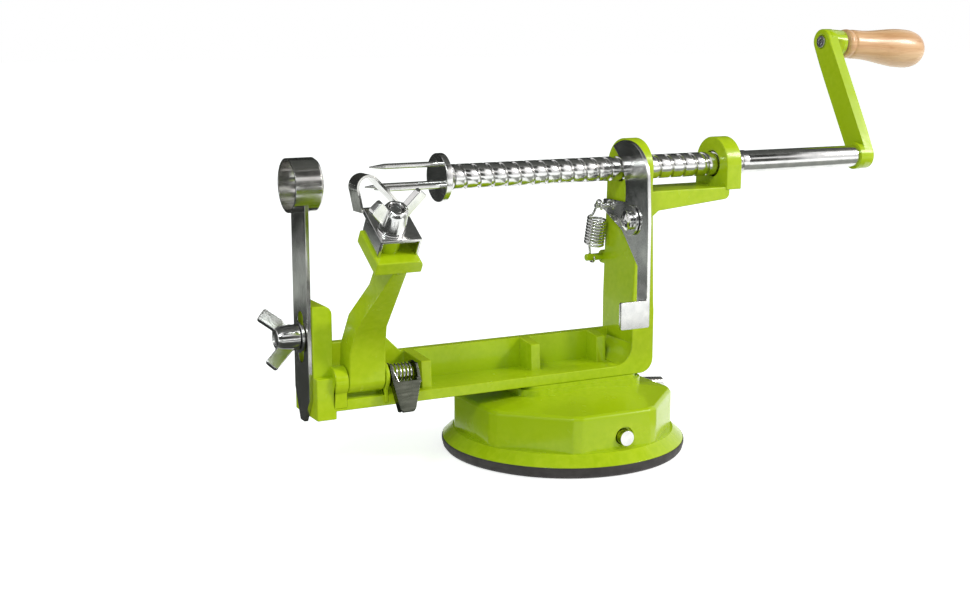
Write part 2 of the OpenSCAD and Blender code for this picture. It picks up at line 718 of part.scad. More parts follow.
module handle_washer() {
    color(steel) at_handle() difference() {
        rod_x_at(boss_x1, boss_x1 + handle_washer_t, crank_w - 1.4, 0, 0);
        rod_x_at(boss_x1 - 1, boss_x1 + handle_washer_t + 1, spindle_d, 0, 0);
    }
}
// Radius along the turned handle: neck, swell, rounded end
function smooth(t) = t * t * (3 - 2 * t);
function handle_radius(t) = let (neck = handle_neck_d / 2, belly = handle_d / 2)
    t < 0.2 ? neck : t < 0.72 ? neck + (belly - neck) * smooth((t - 0.2) / 0.52) :
    belly * sqrt(1 - pow((t - 0.72) / 0.28, 3.2));
module wood_handle() {
    steps = 20;
    knob_x = handle_l - 14;
    profile = [for (i = [0:steps]) let (t = i / steps) [handle_radius(t), handle_l * t]];
    color(timber) at_handle() translate([handle_x0, 0, 0]) rotate([0, 90, 0]) rotate_extrude() difference() {
        polygon(concat([[0, 0], [handle_neck_d / 2 - 0.8, 0], [handle_neck_d / 2, 0.8]],
            [for (p = profile) if (p[1] > 1 && p[0] > 0.1) p], [[0, handle_l]]));
        square([spindle_d / 2 + gap, knob_x + 1]);
        translate([0, knob_x - gap]) square([spindle_knob_d / 2 + gap, 3 + 2 * gap]);
    }
}
module rear_bush() {
    color(black) difference() {
        union() {
            rod_x_at(rear_x1 + eye_lip + gap, eye_x1 + gap + eps, bush_d, 0, axis_z);
            rod_x_at(eye_x1 + gap, eye_x1 + gap + bush_rim, bush_d + 2 * bush_rim, 0, axis_z);
        }
        rod_x_at(rear_x1 - 1, eye_x1 + far, bush_bore, 0, axis_z);
    }
}

// Release lever: hook over the screw, eye on the pivot, horn for the spring, strip and thumb tab
strip_front = -24.8;
strip_back = -17.4;
tab_drop = 51;
tab_top_z = axis_z - tab_drop;
lever_eye_r = 8.6;
hook_y = -7.2;
hook_drop = 4.6;
hook_r = 16.6;
bite_y = 13.8;
bite_drop = 9.4;
bite_r = 21.4;
mouth_y = 4.6;
horn_cut = 13;
horn_in = 4;
horn_up = 8;
horn_back = 7;
horn_low = 5;
module horn_2d() {
    polygon([[lever_y, lever_z], [lever_y + horn_in, lever_z + horn_up], [horn_y + 0.7 * peg_d, horn_z + 1.3 * peg_d],
        [horn_y + peg_d, horn_z - 0.8 * peg_d], [lever_y + horn_back, lever_z - horn_low]]);
}
module lever_outline() {
    difference() {
        union() {
            translate([lever_y, lever_z]) circle(r = lever_eye_r);
            translate([hook_y, axis_z - hook_drop]) circle(r = hook_r);
            polygon([[strip_front + 1, axis_z - hook_drop], [-4, axis_z - hook_drop], [lever_y + 8.2, lever_z + 2],
                [lever_y + 6, lever_z - 6], [strip_back, lever_z - 18], [strip_back, tab_top_z - tab_h],
                [strip_front, tab_top_z - tab_h], [strip_front, lever_z]]);
            horn_2d();
        }
        translate([bite_y, axis_z - bite_drop]) circle(r = bite_r);
        translate([0, axis_z]) circle(r = thread_r + gap + 0.1);
        polygon([[mouth_y, axis_z - 1], [far, axis_z - 1], [far, axis_z + far], [mouth_y, axis_z + far]]);
    }
    intersection() {
        horn_2d();
        translate([-far, -far]) square([2 * far, far + axis_z - horn_cut]);
    }
}
module release_lever() {
    tooth_l = 3;
    tooth_t = 0.8;
    helix = atan(thread_pitch / (PI * thread_d));
    tooth_tip = -thread_r + 0.55;
    color(chrome) difference() {
        union() {
            along_x(plate_x0, plate_x1) lever_outline();
            block([plate_x1 - tab_w, strip_front, tab_top_z - tab_h], [plate_x1, strip_front + lever_t, tab_top_z]);
            rod_x_at(spring_x - peg_d, plate_x0 + eps, peg_d, horn_y, horn_z);
            translate([groove_x, 0, axis_z]) rotate([0, -helix, 0])
                block([-tooth_t / 2, -thread_r - 3, -tooth_l / 2], [tooth_t / 2, tooth_tip, tooth_l / 2]);
        }
        rod_x_at(plate_x0 - 1, plate_x1 + 1, lever_screw_d + 2 * run, lever_y, lever_z);
    }
}
module lever_screw() {
    x1 = plate_x0 - gap - lever_washer_t;
    color(chrome) difference() {
        union() {
            rod_x_at(x1 - eps, column_x + pivot_boss_t, lever_screw_d, lever_y, lever_z);
            intersection() {
                rod_x_at(x1 - lever_head_h, x1, lever_head_d, lever_y, lever_z);
                translate([x1 - lever_head_h + 6.4, lever_y, lever_z]) sphere(r = 6.4);
            }
        }
        for (a = [0, 90]) translate([x1 - lever_head_h - 1, lever_y, lever_z]) rotate([a, 0, 0])
            translate([0, -0.5, -2]) cube([2.4, 1, 4]);
    }
}
module lever_washer() {
    x1 = plate_x0 - gap;
    color(chrome) difference() {
        rod_x_at(x1 - lever_washer_t, x1, lever_washer_d, lever_y, lever_z);
        rod_x_at(x1 - lever_washer_t - 1, x1 + 1, lever_screw_d, lever_y, lever_z);
    }
}
module lever_spring() {
    color(chrome) translate([spring_x, spring_lug_y, spring_lug_z]) rotate([spring_lean, 0, 0])
        swept_wire(lever_path, lever_wire);
}

// Peeling arm
module arm_side() {
    y = -head_front;
    z = head_z;
    translate([arm_y, arm_z]) circle(r = arm_hub_r);
    polygon([[arm_y + arm_hub_r, arm_z], [arm_y - arm_hub_r, arm_z], [arm_y - arm_hub_r - 0.5, arm_z + 10.8],
        [arm_y - 12.4, arm_z + 21.3], [y + 9.9, z - 24.2], [y - 6.8, z - 11.6], [y - 7.6, z - 10.4],
        [y + 6.9, z - 2], [y + 7.6, z - 8.6], [y + 14.7, z - 17.8], [arm_y - 5.1, arm_z + 26.3], [arm_y + 3.9, arm_z + 13.3]]);
}
module arm_front() {
    polygon([[arm_x0, arm_z - far], [arm_x1, arm_z - far], [arm_x1, arm_z + 10.4], [arm_x1 - 2.2, arm_z + 21.3],
        [arm_x1 - 5.8, head_z - 24.2], [head_x + 3.6, head_z - 11.6], [head_x + 3.6, head_z + far],
        [head_x - 5, head_z + far], [head_x - 5, head_z - 11], [arm_x0 - 1, arm_z + 21], [arm_x0, arm_z + 8]]);
}
module at_head() {
    translate([head_x, -head_front, head_z]) rotate([head_lean, 0, 0]) children();
}
module peel_arm() {
    round_r = 2.6;
    color(lime) difference() {
        union() {
            intersection() {
                along_x(arm_x0, arm_x1) arm_side();
                along_y(-far, far) arm_front();
            }
            at_head() along_y(head_v0, head_v1) {
                translate([-head_l / 2, -head_h]) square([head_l - round_r, head_h]);
                translate([head_l / 2 - round_r, -head_h]) square([round_r, head_h - round_r]);
                translate([head_l / 2 - round_r, -round_r]) circle(r = round_r);
            }
            at_head() translate([bolt_u, bolt_v, 0]) cylinder(d = bolt_d + 4, h = seat_w);
        }
        rod_x_at(arm_x0 - 1, arm_x1 + 1, pin_d + 2 * run, arm_y, arm_z);
        at_head() translate([bolt_u, bolt_v, -stud_depth]) cylinder(d = bolt_d, h = far);
    }
}
module arm_pin() {
    color(steel) {
        rod_x_at(lug_x0 - 3, mandrel_x1 + eps, pin_d, arm_y, arm_z);
        rod_x_at(mandrel_x1, mandrel_x1 + 1, pin_d + 3.2, arm_y, arm_z);
    }
}
module arm_spring() {
    color(chrome) translate([coil_x0 + arm_wire / 2, arm_y, arm_z]) swept_wire(arm_path, arm_wire);
}
module arm_latch() {
    plate_t = 1.2;
    plate_y = -(arm_mean_r + arm_wire / 2 + gap);
    ear_r = 4.6;
    top = -4.6;
    low = -16.5;
    taper_l = 0.8;
    taper_r = 4.4;
    x0 = ear_x0;
    x1 = ear2_x0 + ear_t;
    color(steel) difference() {
        translate([0, arm_y, arm_z]) rotate([-latch_lean, 0, 0]) {
            for (x = [x0, ear2_x0]) along_x(x, x + ear_t) {
                circle(r = ear_r);
                polygon([[0, ear_r], [plate_y - plate_t, 2], [plate_y - plate_t, top - 1], [-2.4, top - 1]]);
            }
            along_y(plate_y - plate_t, plate_y) polygon([[x0, top], [x0 + 1.6, top + 1.4], [x0 + 1.6, top],
                [x1 - 1.6, top], [x1 - 1.6, top + 1.4], [x1, top], [x1 - taper_r, low + 1],
                [x1 - taper_r - 1, low], [x0 + taper_l + 1, low], [x0 + taper_l, low + 1]]);
            along_y(plate_y - plate_t, -2.4) {
                polygon([[x0, top], [x0 + ear_t, top], [x0 + taper_l + ear_t, low + 0.6], [x0 + taper_l, low + 1]]);
                polygon([[x1, top], [x1 - ear_t, top], [x1 - taper_r - ear_t, low + 0.6], [x1 - taper_r, low + 1]]);
            }
        }
        rod_x_at(x0 - 1, x1 + 1, mandrel_d + 2 * run, arm_y, arm_z);
    }
}

// Peel blade: a strip bent into a leaning loop on a flat foot
module loop_2d(t) {
    r = loop_r - t;
    q = r - 0.06;
    right = [loop_x + q * cos(loop_right), loop_h + q * sin(loop_right)];
    left = [loop_x + q * cos(loop_left), loop_h + q * sin(loop_left)];
    translate([loop_x, loop_h]) circle(r = r);
    polygon([left, [left[0] + (left[1] - t) * tan(loop_left - 180), t],
        [right[0] + (right[1] - t) * tan(loop_right), t], right, [loop_x, loop_h]]);
}
module peel_blade() {
    color(chrome) {
        translate([head_x, loop_y, loop_z]) along_y(0, blade_w) difference() {
            loop_2d(0);
            loop_2d(blade_t);
        }
        at_head() difference() {
            block([-saddle_l / 2 + saddle_t + gap, -saddle_w / 2 + 1, seat_w],
                [saddle_l / 2 - saddle_t - gap, saddle_w / 2 + 1, seat_w + blade_t]);
            translate([bolt_u, bolt_v, 0]) cylinder(d = bolt_d + 0.4, h = far);
        }
    }
}
module clamp_plate() {
    color(chrome) at_head() difference() {
        along_y(-saddle_w / 2, saddle_w / 2) difference() {
            translate([-saddle_l / 2, 0]) square([saddle_l, saddle_h]);
            translate([-saddle_l / 2 + saddle_t, -1]) square([saddle_l - 2 * saddle_t, saddle_h - saddle_t + 1]);
        }
        block([-saddle_l, head_v1, -far], [saddle_l, far, seat_w]);
        translate([bolt_u, bolt_v, 0]) cylinder(d = bolt_d + 0.4, h = far);
    }
}
module peel_bolt() {
    l = stud_depth + saddle_h + nut_seat_t + nut_hub_l - 1;
    color(steel) at_head() translate([bolt_u, bolt_v, -stud_depth]) {
        cylinder(d = bolt_d, h = l);
        translate([0, 0, l - eps]) cylinder(d1 = bolt_d, d2 = bolt_d - 1.2, h = 0.6);
    }
}
module peel_washer() {
    color(chrome) at_head() translate([bolt_u, bolt_v, saddle_h]) difference() {
        cylinder(d = 10, h = nut_seat_t);
        translate([0, 0, -1]) cylinder(d = bolt_d, h = 3);
    }
}
// Wing nut on the Z axis, seat at z = 0
wing_l = 11.6;
wing_w = 5.2;
wing_angle = 48;
wing_round = 1.1;
module wing_nut() {
    wing_t = 2.3;
    difference() {
        union() {
            rotate_extrude() polygon([[0, 0], [4.9, 0], [4.9, 2.2], [4.4, nut_hub_l - 1.6], [3.6, nut_hub_l], [0, nut_hub_l]]);
            for (s = [0, 1]) mirror([s, 0, 0]) along_y(-wing_t / 2, wing_t / 2) {
                translate([wing_w / 2, wing_w / 2 + 1]) rotate(wing_angle) {
                    translate([0, -wing_w / 2]) square([wing_l - wing_round, wing_w]);
                    translate([0, wing_round - wing_w / 2]) square([wing_l, wing_w - 2 * wing_round]);
                    for (j = [-1, 1]) translate([wing_l - wing_round, j * (wing_w / 2 - wing_round)]) circle(r = wing_round);
                }
            }
        }
        translate([0, 0, -1]) cylinder(d = bolt_d + 2 * run, h = nut_hub_l + 2);
    }
}
module peel_nut() {
    color(chrome) at_head() translate([bolt_u, bolt_v, saddle_h + nut_seat_t + gap]) rotate([0, 0, 18]) wing_nut();
}

// Slicing blade and coring ring
module slicer_blade() {
    top = axis_z - 4;
    w = slicer_w / 2;
    color(chrome) difference() {
        along_x(slicer_x0, slicer_x1) difference() {
            union() {
                polygon([[-w, slicer_tip_z + 9], [-2, slicer_tip_z], [2.4, slicer_tip_z], [w, slicer_tip_z + 12],
                    [w, top], [-w, top]]);
            }
            translate([0, axis_z]) circle(r = corer_r + corer_t);
            translate([-slot_w / 2, slicer_bolt_z - slot_reach]) square([slot_w, 2 * slot_reach]);
            for (s = [-1, 1]) translate([0, slicer_bolt_z + s * slot_reach]) circle(d = slot_w);
        }
        translate([slicer_x0, -w, post_top_z + 4]) rotate([0, 0, 20])
            translate([-far, -3, 0]) cube([far, 3 + 2.6, far]);
    }
}
module corer_ring() {
    x0 = slicer_x0 - corer_front;
    color(chrome) difference() {
        union() {
            rod_x_at(x0 + 1, x0 + corer_l - 1, 2 * (corer_r + corer_t), 0, axis_z);
            translate([x0 + corer_l - 1 - eps, 0, axis_z]) rotate([0, 90, 0])
                cylinder(r1 = corer_r + corer_t, r2 = corer_r + 0.15, h = 1 + eps);
        }
        rod_x_at(x0 - 1, x0 + corer_l + 1, 2 * corer_r, 0, axis_z);
    }
}
module slicer_bolt() {
    color(steel) {
        rod_x_at(nut_x1 - nut_hub_l + 0.4, post_x1 + eps, bolt_d, 0, slicer_bolt_z);
        translate([post_x1, 0, slicer_bolt_z]) rotate([0, 90, 0]) rotate_extrude() difference() {
            intersection() {
                square([5, 2.8]);
                translate([0, -3.4]) circle(r = 6.2);
            }
        }
    }
}
module slicer_washer() {
    color(chrome) difference() {
        rod_x_at(slicer_x0 - gap - slicer_washer_t, slicer_x0 - gap, 12, 0, slicer_bolt_z);
        rod_x_at(slicer_x0 - far, slicer_x0, bolt_d, 0, slicer_bolt_z);
    }
}
module slicer_nut() {
    color(chrome) translate([nut_x1, 0, slicer_bolt_z]) rotate([0, -90, 0]) rotate([0, 0, 31]) wing_nut();
}

main_frame();
base_shell();
suction_cup();
frame_screws();
arm_pin();
slicer_bolt();
slicer_washer();
lever_screw();
lever_washer();
lever_spring();
arm_spring();
rear_bush();
threaded_shaft();
fork_disc();
fork_prongs();
crank_arm();
handle_bolt();
handle_washer();
wood_handle();
release_lever();
peel_arm();
peel_blade();
clamp_plate();
peel_bolt();
peel_washer();
peel_nut();
arm_latch();
slicer_blade();
corer_ring();
slicer_nut();
suction_lever();
rod_clip();
pull_stem();
cup_disc();
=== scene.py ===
import bmesh
import bpy
import json
import math
from mathutils import Matrix, Vector

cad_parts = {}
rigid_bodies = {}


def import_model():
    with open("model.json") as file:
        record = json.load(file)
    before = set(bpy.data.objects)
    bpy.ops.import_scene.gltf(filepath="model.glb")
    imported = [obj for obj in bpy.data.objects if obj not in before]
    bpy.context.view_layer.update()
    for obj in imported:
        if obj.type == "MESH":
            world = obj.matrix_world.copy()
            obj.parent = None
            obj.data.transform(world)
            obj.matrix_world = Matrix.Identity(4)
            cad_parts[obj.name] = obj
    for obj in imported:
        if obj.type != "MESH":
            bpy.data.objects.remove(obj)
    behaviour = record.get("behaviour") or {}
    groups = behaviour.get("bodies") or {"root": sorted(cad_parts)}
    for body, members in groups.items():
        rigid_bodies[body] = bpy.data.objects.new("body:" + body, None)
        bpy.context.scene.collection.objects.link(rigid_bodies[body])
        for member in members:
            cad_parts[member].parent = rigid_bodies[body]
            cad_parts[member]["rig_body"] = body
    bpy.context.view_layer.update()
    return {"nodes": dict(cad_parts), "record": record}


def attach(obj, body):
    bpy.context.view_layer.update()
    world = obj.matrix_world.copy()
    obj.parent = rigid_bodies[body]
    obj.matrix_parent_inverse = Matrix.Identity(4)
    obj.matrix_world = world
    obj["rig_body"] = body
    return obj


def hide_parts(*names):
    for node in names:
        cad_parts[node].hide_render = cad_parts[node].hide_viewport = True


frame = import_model()
nodes = frame["nodes"]
scene = bpy.context.scene
mm = 0.001
axisZ = 114.0  # height of the feed screw's axis
print("frame loaded,", len(nodes), "nodes")

# Camera at the photograph's viewing angle
cameraSet = {"place": (-0.2982, -0.5101, 0.1730), "pitch": 78.99, "turn": -27.19, "lens": 54.41}
cameraData = bpy.data.cameras.new("viewCamera")
cameraData.lens = cameraSet["lens"]
cameraData.sensor_width = 36.0
cameraData.clip_start = 0.01
cameraData.clip_end = 60.0
viewCamera = bpy.data.objects.new("viewCamera", cameraData)
viewCamera.location = cameraSet["place"]
viewCamera.rotation_euler = (math.radians(cameraSet["pitch"]), 0, math.radians(cameraSet["turn"]))
scene.collection.objects.link(viewCamera)
scene.camera = viewCamera
print("camera placed")


# Finishes: each is a small node tree on Object coordinates
def startFinish(name, sockets):
    mat = bpy.data.materials.new(name)
    mat.use_nodes = True
    tree = mat.node_tree
    shader = tree.nodes["Principled BSDF"]
    for socket, value in sockets.items():
        shader.inputs[socket].default_value = value
    return mat, tree, shader


def addNode(tree, kind, values=None, **settings):
    node = tree.nodes.new(kind)
    for key, value in settings.items():
        setattr(node, key, value)
    for socket, value in (values or {}).items():
        node.inputs[socket].default_value = value
    return node


def grain(tree, scale, detail=3.0, stretch=(1, 1, 1), warp=0.0):
    coord = addNode(tree, "ShaderNodeTexCoord")
    place = addNode(tree, "ShaderNodeMapping", {"Scale": stretch})
    noise = addNode(tree, "ShaderNodeTexNoise", {"Scale": scale, "Detail": detail, "Distortion": warp})
    tree.links.new(coord.outputs["Object"], place.inputs["Vector"])
    tree.links.new(place.outputs["Vector"], noise.inputs["Vector"])
    return noise.outputs["Fac"]


def tint(tree, fac, stops):
    ramp = addNode(tree, "ShaderNodeValToRGB")
    for element, (position, colour) in zip(ramp.color_ramp.elements, (stops[0], stops[-1])):
        element.position = position
        element.color = (*colour, 1)
    for position, colour in stops[1:-1]:
        ramp.color_ramp.elements.new(position).color = (*colour, 1)
    tree.links.new(fac, ramp.inputs["Fac"])
    return ramp.outputs["Color"]


def spread(tree, fac, low, high, fromLow=0.3, fromHigh=0.7):
    span = addNode(tree, "ShaderNodeMapRange", {"From Min": fromLow, "From Max": fromHigh,
                                                "To Min": low, "To Max": high})
    tree.links.new(fac, span.inputs["Value"])
    return span.outputs["Result"]


def relief(tree, shader, layers):
    last = None
    for fac, strength, depth in layers:
        bump = addNode(tree, "ShaderNodeBump", {"Strength": strength, "Distance": depth})
        tree.links.new(fac, bump.inputs["Height"])
        if last:
            tree.links.new(last, bump.inputs["Normal"])
        last = bump.outputs["Normal"]
    tree.links.new(last, shader.inputs["Normal"])


# The edge colour is a lighter lime laid on the rounded edges: partly paint wear, partly a painted edge
# highlight
limeSet = {"deep": (0.375, 0.530, 0.003), "main": (0.405, 0.560, 0.004), "light": (0.435, 0.590, 0.005),
           "edge": (0.540, 0.670, 0.020)}


def limeEnamel():
    mat, tree, shader = startFinish("limeEnamel", {"Coat Weight": 0.12, "Coat Roughness": 0.07,
                                                    "Specular IOR Level": 0.25})
    stops = [(0.3, limeSet["deep"]), (0.5, limeSet["main"]), (0.7, limeSet["light"])]
    colour = tint(tree, grain(tree, 22.0, 2.0), stops)
    # Lighter lime on the bevels, broken into specks: paint wear together with a painted edge highlight
    wornAndSheen = addNode(tree, "ShaderNodeAttribute", attribute_name="edgeWearSheen")
    speck = spread(tree, grain(tree, 420.0, 3.0), 0.05, 0.55)
    amount = addNode(tree, "ShaderNodeMath", operation="MULTIPLY")
    tree.links.new(wornAndSheen.outputs["Fac"], amount.inputs[0])
    tree.links.new(speck, amount.inputs[1])
    blend = addNode(tree, "ShaderNodeMix", {"B": (*limeSet["edge"], 1)}, data_type="RGBA")
    tree.links.new(amount.outputs["Value"], blend.inputs["Factor"])
    tree.links.new(colour, blend.inputs["A"])
    tree.links.new(blend.outputs["Result"], shader.inputs["Base Color"])
    tree.links.new(spread(tree, grain(tree, 130.0, 4.0), 0.17, 0.28), shader.inputs["Roughness"])
    skin = grain(tree, 900.0, 2.0)
    waves = grain(tree, 110.0, 2.0)
    relief(tree, shader, [(skin, 0.035, 0.0002), (waves, 0.09, 0.0006)])
    return mat


def brightMetal(name, dark, light, rough, stretch, scale, scratch):
    mat, tree, shader = startFinish(name, {"Metallic": 1.0})
    lines = grain(tree, scale, 4.0, stretch)
    tree.links.new(tint(tree, lines, [(0.3, dark), (0.7, light)]), shader.inputs["Base Color"])
    tree.links.new(spread(tree, grain(tree, 160.0, 4.0), *rough), shader.inputs["Roughness"])
    relief(tree, shader, [(lines, scratch, 0.00004)])
    return mat


def mattBlack(name, dark, light, rough, pore):
    mat, tree, shader = startFinish(name, {})
    colour = tint(tree, grain(tree, 90.0, 5.0), [(0.3, dark), (0.7, light)])
    tree.links.new(colour, shader.inputs["Base Color"])
    tree.links.new(spread(tree, grain(tree, 300.0, 3.0), *rough), shader.inputs["Roughness"])
    relief(tree, shader, [(grain(tree, pore, 2.0), 0.18, 0.0002)])
    return mat


beechSet = {"dark": (0.560, 0.275, 0.115), "mid": (0.760, 0.450, 0.230), "pale": (0.880, 0.600, 0.360),
            "pore": 0.22}


def beechWood():
    mat, tree, shader = startFinish("beechWood", {"Coat Weight": 0.3, "Coat Roughness": 0.16})
    streak = grain(tree, 1.0, 4.0, (9, 150, 130), warp=1.2)
    pores = grain(tree, 1.0, 3.0, (70, 1500, 1500))
    stops = [(0.28, beechSet["dark"]), (0.48, beechSet["mid"]), (0.70, beechSet["pale"])]
    colour = tint(tree, streak, stops)
    flecks = tint(tree, pores, [(0.36, (0.55, 0.42, 0.30)), (0.50, (1, 1, 1))])
    blend = addNode(tree, "ShaderNodeMix", {"Factor": beechSet["pore"]}, data_type="RGBA",
                    blend_type="MULTIPLY")
    tree.links.new(colour, blend.inputs["A"])
    tree.links.new(flecks, blend.inputs["B"])
    tree.links.new(blend.outputs["Result"], shader.inputs["Base Color"])
    tree.links.new(spread(tree, streak, 0.30, 0.44), shader.inputs["Roughness"])
    relief(tree, shader, [(pores, 0.10, 0.0001), (streak, 0.06, 0.0002)])
    return mat


metalSet = {
    "chrome": {"name": "chromePlate", "dark": (0.62, 0.62, 0.62), "light": (0.77, 0.76, 0.75),
               "rough": (0.12, 0.22), "stretch": (1, 1, 1), "scale": 240.0, "scratch": 0.03},
    "blade_steel": {"name": "bladeSteel", "dark": (0.54, 0.53, 0.51), "light": (0.70, 0.69, 0.67),
                    "rough": (0.12, 0.24), "stretch": (1, 14, 1), "scale": 120.0, "scratch": 0.08},
    "zinc_steel": {"name": "zincPlate", "dark": (0.46, 0.46, 0.46), "light": (0.62, 0.62, 0.62),
                   "rough": (0.20, 0.36), "stretch": (1, 1, 1), "scale": 300.0, "scratch": 0.06},
    # The latch: dark steel whose colour is pushed lower still as a painted dark reflection
    "dark_steel": {"name": "darkPlateReflection", "dark": (0.060, 0.066, 0.050), "light": (0.125, 0.132, 0.108),
                   "rough": (0.18, 0.30), "stretch": (1, 1, 10), "scale": 160.0, "scratch": 0.06},
}
blackSet = {
    "black_rubber": {"name": "footRubber", "dark": (0.016, 0.013, 0.013), "light": (0.032, 0.026, 0.026),
                     "rough": (0.55, 0.75), "pore": 1500.0},
    # The rear sleeve: near-black plastic whose darkness also paints the shade in the gap round the screw
    "bush_plastic": {"name": "bushPlasticShade", "dark": (0.012, 0.012, 0.012), "light": (0.030, 0.030, 0.030),
                     "rough": (0.40, 0.60), "pore": 900.0},
}
finishes = {"lime_paint": limeEnamel(), "beech": beechWood()}
for slot, values in metalSet.items():
    finishes[slot] = brightMetal(**values)
for slot, values in blackSet.items():
    finishes[slot] = mattBlack(**values)
slotOf = {row["node"]: row["material_slot"] for row in frame["record"]["subparts"]}
for name, node in nodes.items():
    node.data.materials.clear()
    node.data.materials.append(finishes[slotOf[name]])
print("finishes made:", len(finishes))


def bodyOf(nodeName):
    return nodes[nodeName]["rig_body"]


def settle(bm, pieceName, nodeName, smoothAngle=40):
    mesh = bpy.data.meshes.new(pieceName)
    bm.to_mesh(mesh)
    bm.free()
    mesh.materials.append(finishes[slotOf[nodeName]])
    mesh.polygons.foreach_set("use_smooth", [True] * len(mesh.polygons))
    mesh.set_sharp_from_angle(angle=math.radians(smoothAngle))
    piece = bpy.data.objects.new(pieceName, mesh)
    scene.collection.objects.link(piece)
    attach(piece, bodyOf(nodeName))
    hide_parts(nodeName)
    return piece


# The crank's bar: each face's x, and the y and z of the boss on it, which keeps its own edge
crankFaces = {"faces": [(152.0, 0.0, 114.0), (157.0, 28.3, 164.0)], "clear": 8.5, "slack": 0.03}


def onCrankFace(vert, faceX, bossY, bossZ):
    x, y, z = (part / mm for part in vert.co)
    clearOfBoss = math.hypot(y - bossY, z - bossZ) > crankFaces["clear"]
    return clearOfBoss and abs(x - faceX) < crankFaces["slack"]


def onCrankOutline(edge):
    return any(all(onCrankFace(v, *face) for v in edge.verts) for face in crankFaces["faces"])


def onOutside(edge):
    return edge.is_convex


# Pressed and cast pieces: a merged copy of the solid with its sharp edges rounded
roundEdges = {
    "main_frame": {"piece": "frameCasting", "radius": 0.4, "segments": 2, "clean": True, "free": True,
                   "pick": onOutside},
    "base_shell": {"piece": "baseCover", "radius": 0.5, "segments": 2, "rim": (22.6, 24.6, 40.0, 1.7)},
    "suction_cup": {"piece": "rubberFoot", "radius": 0.3, "segments": 2,
                    "lip": [(49.6, 2.8), (50.0, 2.8), (50.2, 3.3), (50.2, 4.4), (50.05, 4.75), (49.6, 4.75)]},
    "peel_arm": {"piece": "peelArmCasting", "radius": 0.8, "segments": 3, "clean": True, "pick": onOutside},
    "crank_arm": {"piece": "crankCasting", "radius": 0.9, "segments": 3, "free": True,
                  "pick": onCrankOutline},
    "peel_nut": {"piece": "peelWingNut", "radius": 0.3, "segments": 3, "free": True},
    "slicer_nut": {"piece": "slicerWingNut", "radius": 0.3, "segments": 3, "free": True},
    "release_lever": {"piece": "leverStamping", "radius": 0.2, "segments": 2, "clean": True, "free": True,
                      "tab": (63.5, 1.5)},
    "clamp_plate": {"piece": "clampStamping", "radius": 0.3, "segments": 2},
    "arm_latch": {"piece": "latchStamping", "radius": 0.15, "segments": 2, "free": True},
    "slicer_blade": {"piece": "slicerStrip", "radius": 0.15, "segments": 2},
    "peel_blade": {"piece": "peelStrip", "radius": 0.12, "segments": 2},
    "corer_ring": {"piece": "coringRing", "radius": 0.12, "segments": 2, "clean": True},
    "fork_disc": {"piece": "forkDisc", "radius": 0.4, "segments": 3},
    "suction_lever": {"piece": "suctionRod", "radius": 0.4, "segments": 2},
    "lever_screw": {"piece": "leverPanScrew", "radius": 0.2, "segments": 2},
    "lever_washer": {"piece": "leverLockWasher", "radius": 0.15, "segments": 2},
    "slicer_bolt": {"piece": "slicerStud", "radius": 0.3, "segments": 2},
    "slicer_washer": {"piece": "slicerFlatWasher", "radius": 0.2, "segments": 2},
    "peel_bolt": {"piece": "peelStud", "radius": 0.2, "segments": 2, "clean": True},
    "peel_washer": {"piece": "peelFlatWasher", "radius": 0.2, "segments": 2},
    "handle_bolt": {"piece": "handleSpindle", "radius": 0.15, "segments": 2, "free": True},
    "handle_washer": {"piece": "handleFlatWasher", "radius": 0.2, "segments": 2},
    "arm_pin": {"piece": "armRivet", "radius": 0.25, "segments": 2},
    "rear_bush": {"piece": "rearSleeve", "radius": 0.3, "segments": 2},
}
sharpFrom = math.radians(32)
flatWithin = math.radians(1.0)
weldReach = 0.000002
sliverReach = 0.00006


def bevelled(bm, edges, radius, segments, free=False):
    return bmesh.ops.bevel(bm, geom=edges, offset=radius * mm, offset_type="OFFSET", affect="EDGES",
                           segments=segments, profile=0.5, clamp_overlap=not free, material=-1)["faces"]


def sharpEdges(bm):
    return [e for e in bm.edges if len(e.link_faces) == 2 and e.calc_face_angle(0) > sharpFrom]


def onRim(edge, low, high, reach):
    return all(low * mm < v.co.z < high * mm and v.co.xy.length > reach * mm for v in edge.verts)


def isTabCorner(edge, top):
    first, last = edge.verts
    return abs(first.co.y - last.co.y) > 0.95 * edge.calc_length() and max(first.co.z, last.co.z) < top * mm


def addLip(bm, outline):
    verts = [bm.verts.new((radius * mm, 0, z * mm)) for radius, z in outline]
    edges = [bm.edges.new(pair) for pair in zip(verts, verts[1:] + verts[:1])]
    bmesh.ops.spin(bm, geom=verts + edges, cent=(0, 0, 0), axis=(0, 0, 1), dvec=(0, 0, 0), angle=math.tau,
                   steps=96, use_merge=True, use_normal_flip=False, use_duplicate=False)
    bmesh.ops.recalc_face_normals(bm, faces=bm.faces)


